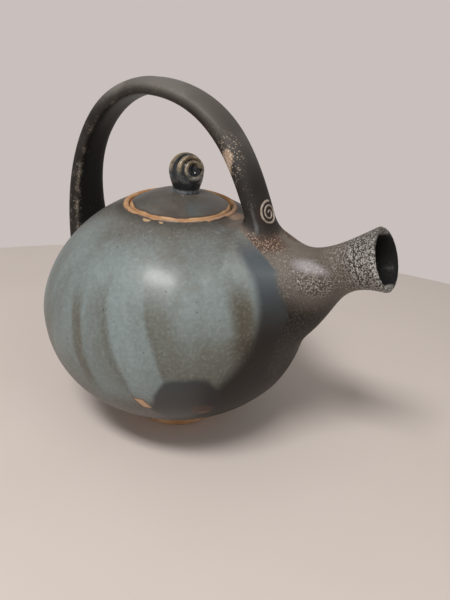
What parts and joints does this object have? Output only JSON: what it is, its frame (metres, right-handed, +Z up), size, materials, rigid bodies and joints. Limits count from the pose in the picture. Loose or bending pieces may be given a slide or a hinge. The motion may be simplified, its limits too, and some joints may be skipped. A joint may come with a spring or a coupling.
{
  "type": "teapot infuser",
  "caption": "Round stoneware teapot with a strap handle over the top, flared spout, domed lid with a coiled knob and a lift-out strainer basket.",
  "frame": {"origin": "centre of the foot ring on the plane that it stands on", "axes": "+Z up through the lid, +X towards the spout, +Y to the left of someone looking along the spout"},
  "size_m": [0.2105, 0.16, 0.2023],
  "materials": {
    "celadon_glaze": "satin, grey-green with olive and brown streaks",
    "dark_glaze": "satin, brown-black with blue-grey bloom",
    "cream_glaze": "satin, cream over dark",
    "bare_clay": "matt, unglazed, orange-tan",
    "infuser_steel": "brushed"
  },
  "bodies": {
    "pot": {"body_shell": "celadon_glaze", "foot_ring": "bare_clay", "lid_gallery": "bare_clay", "spout": "dark_glaze", "spout_strainer": "dark_glaze", "handle": "dark_glaze", "spiral_sprig": "cream_glaze"},
    "lid": {"lid_dome": "celadon_glaze", "lid_flange": "bare_clay", "knob_collar": "dark_glaze", "lid_knob": "cream_glaze"},
    "infuser": {"basket_rim": "infuser_steel", "basket_wall": "infuser_steel", "basket_floor": "infuser_steel", "basket_base_band": "infuser_steel"}
  },
  "joints": [
    {"name": "lid_lift", "type": "slide", "parent": "pot", "child": "lid", "axis": [0, 0, 1], "range_m": [0, 0.022]},
    {"name": "infuser_lift", "type": "slide", "parent": "pot", "child": "infuser", "axis": [0, 0, 1], "range_m": [0, 0.011]}
  ],
  "couplings": [
    {"joint": "infuser_lift", "follows": "lid_lift", "ratio": 0.5}
  ]
}
